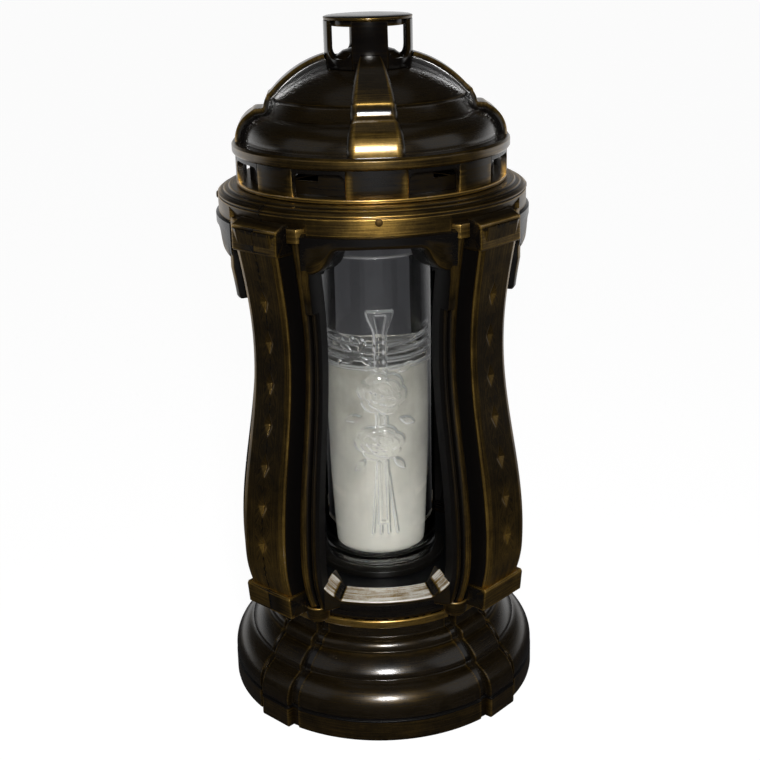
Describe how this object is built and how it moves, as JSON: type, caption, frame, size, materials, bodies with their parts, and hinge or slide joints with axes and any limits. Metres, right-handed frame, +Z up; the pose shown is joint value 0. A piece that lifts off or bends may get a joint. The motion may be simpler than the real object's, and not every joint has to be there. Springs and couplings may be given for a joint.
{
  "type": "vigil lamp",
  "caption": "Candle lamp for graves and votive corners: stepped round plinth, windowed body with ornamented pilasters, a tall glass with a candle, and a ribbed dome lid with a small chimney.",
  "frame": {"origin": "centre of the plinth's underside, on the surface that the lamp stands on", "axes": "+Z up along the lamp's axis, -Y out of the front window, +X out of the right window"},
  "size_m": [0.169, 0.169, 0.36],
  "materials": {
    "bronze_lacquer": "glossy dark bronze lacquer with gold brushed on the raised edges",
    "brass_pin": "polished",
    "zinc_steel": "zinc plated",
    "black_plastic": "satin",
    "clear_glass": "clear, polished, with a gilt relief in front",
    "white_cup": "thin translucent cup",
    "candle_wax": "white wax, slightly translucent",
    "cotton_wick": "waxed cotton"
  },
  "bodies": {
    "lamp_body": {"base_plinth": "bronze_lacquer", "body_shell_front_right": "bronze_lacquer", "body_shell_rear_left": "bronze_lacquer", "collar_hoop": "zinc_steel", "fascia_pin_front": "brass_pin", "fascia_pin_right": "brass_pin", "fascia_pin_rear": "brass_pin", "fascia_pin_left": "brass_pin", "floor_plate": "zinc_steel", "glass_seat": "black_plastic", "tie_screw": "zinc_steel", "tie_nut": "zinc_steel"},
    "lid": {"lid_gallery": "bronze_lacquer", "wind_baffle": "bronze_lacquer", "dome_shell": "bronze_lacquer", "heat_shield": "zinc_steel", "shield_rivet_front_right": "zinc_steel", "shield_rivet_rear_right": "zinc_steel", "shield_rivet_rear_left": "zinc_steel", "shield_rivet_front_left": "zinc_steel", "chimney_ring": "bronze_lacquer", "chimney_cap": "bronze_lacquer"},
    "glass": {"glass_tumbler": "clear_glass"},
    "candle": {"candle_cup": "white_cup", "candle_wax": "candle_wax", "wick_sustainer": "zinc_steel", "wick": "cotton_wick"}
  },
  "joints": [
    {"name": "lid_lift", "type": "slide", "parent": "lamp_body", "child": "lid", "axis": [0, 0, 1], "range_m": [0, 0.33]},
    {"name": "glass_lift", "type": "slide", "parent": "lamp_body", "child": "glass", "axis": [0, 0, 1], "range_m": [0, 0.215]},
    {"name": "candle_lift", "type": "slide", "parent": "glass", "child": "candle", "axis": [0, 0, 1], "range_m": [0, 0.175]}
  ],
  "couplings": [
    {"joint": "glass_lift", "follows": "lid_lift", "ratio": 0.65},
    {"joint": "candle_lift", "follows": "lid_lift", "ratio": 0.53}
  ]
}
